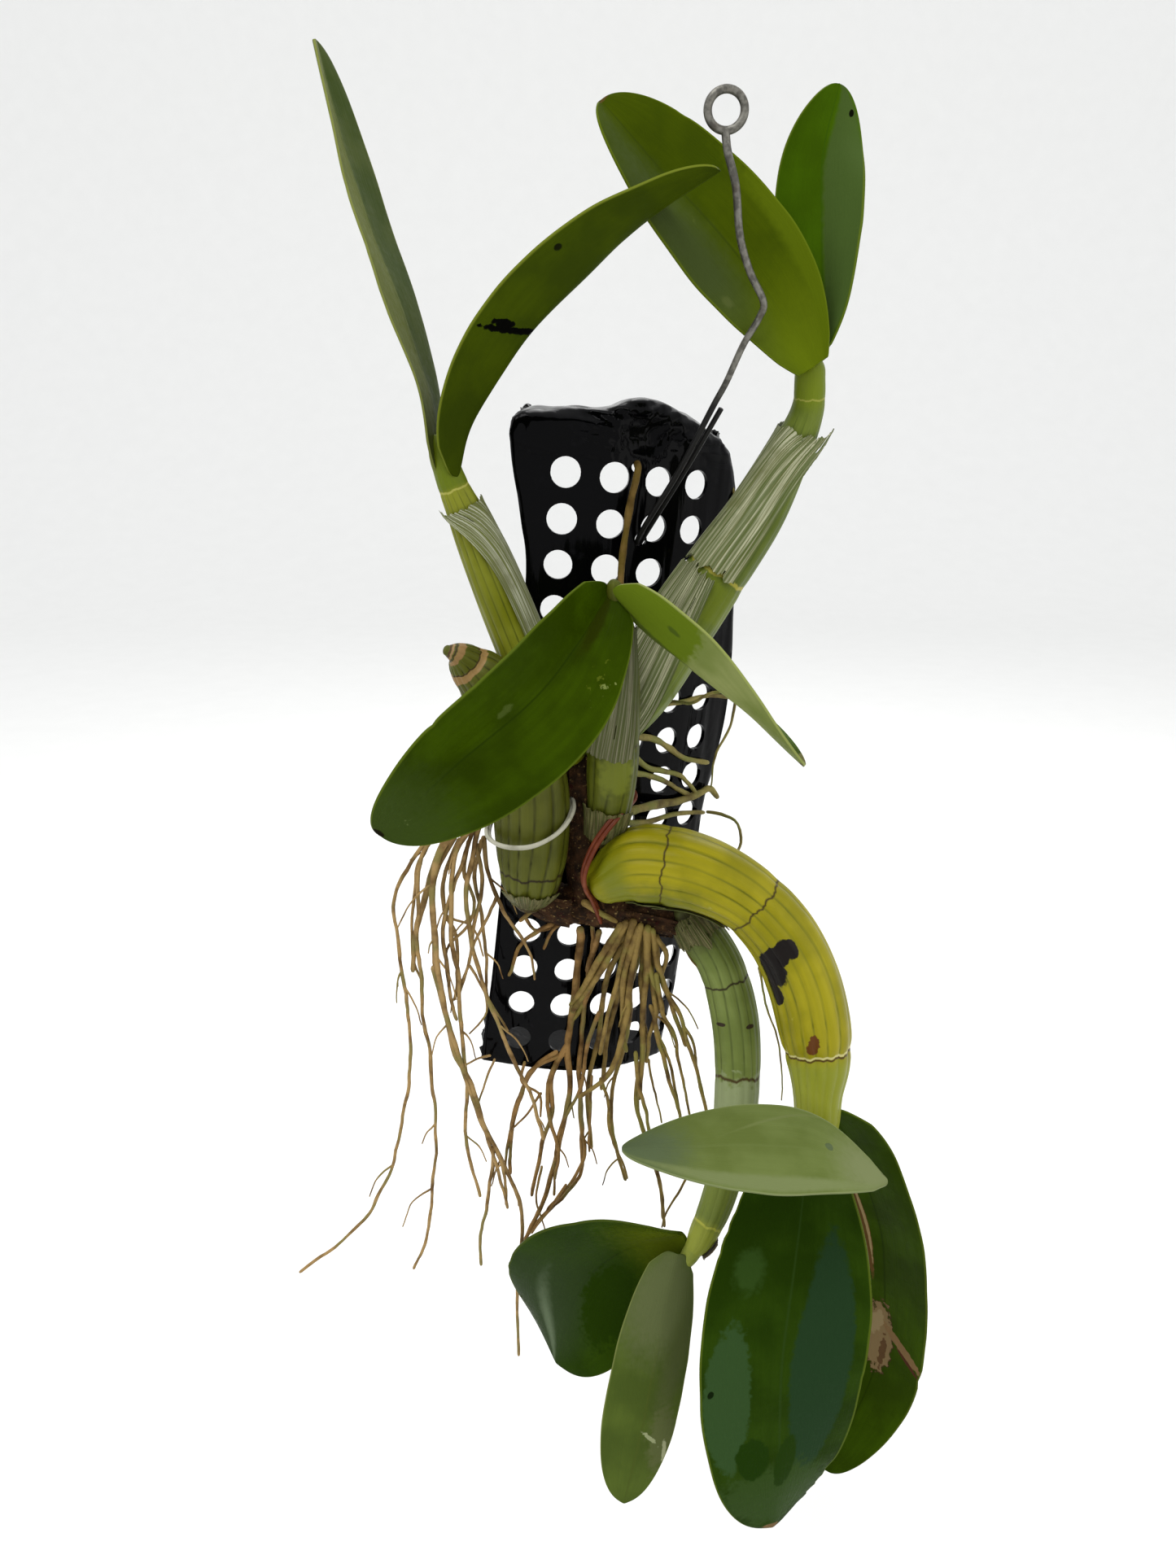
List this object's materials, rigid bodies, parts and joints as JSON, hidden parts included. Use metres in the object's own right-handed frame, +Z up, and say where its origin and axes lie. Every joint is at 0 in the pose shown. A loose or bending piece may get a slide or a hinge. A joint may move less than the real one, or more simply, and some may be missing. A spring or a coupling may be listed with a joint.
{
  "type": "cowhorn orchid on a hanging holder",
  "caption": "Leafy orchid with horn-shaped pseudobulbs and bare roots, tied to a black pierced plastic tray that hangs from a wire eye.",
  "frame": {"origin": "inside top of the wire eye, where it bears on the hook that the plant hangs from", "axes": "+Z up, the plant's face towards -Y, the tray's open back towards +Y"},
  "size_m": [0.2854, 0.1407, 0.6066],
  "materials": {
    "zinc_wire": "dull galvanised, weathered",
    "black_plastic": "glossy, slightly crumpled",
    "bark": "rough dark bark",
    "bulb_yellow": "smooth waxy skin",
    "bulb_olive": "ribbed dull skin",
    "bulb_green": "smooth waxy skin",
    "white_plastic": "satin",
    "copper_wire": "satin, brown",
    "leaf_green": "leathery, glossy above, paler below",
    "dry_sheath": "dry, fibrous, silvery",
    "root_tan": "dry, matt",
    "root_pale": "fleshy, matt"
  },
  "bodies": {
    "root": {"hanger_wire": "zinc_wire", "tray": "black_plastic", "rhizome": "bark", "bulb_e": "bulb_yellow", "bulb_d": "bulb_olive", "bulb_b": "bulb_olive", "bulb_c": "bulb_green", "bulb_a": "bulb_green", "bulb_f": "bulb_green", "tie_white": "white_plastic", "tie_brown": "copper_wire", "leaf_a1": "leaf_green", "leaf_a2": "leaf_green", "leaf_b1": "leaf_green", "leaf_b2": "leaf_green", "leaf_c1": "leaf_green", "leaf_c2": "leaf_green", "leaf_e2": "leaf_green", "leaf_e1": "leaf_green", "leaf_e3": "leaf_green", "leaf_f2": "leaf_green", "leaf_f1": "leaf_green", "sheath_a": "dry_sheath", "sheath_b": "dry_sheath", "sheath_c": "dry_sheath", "sheath_c_low": "dry_sheath", "roots_left": "root_tan", "roots_middle": "root_tan", "roots_front": "root_tan", "roots_right": "root_pale", "root_gold": "root_pale"}
  },
  "joints": []
}
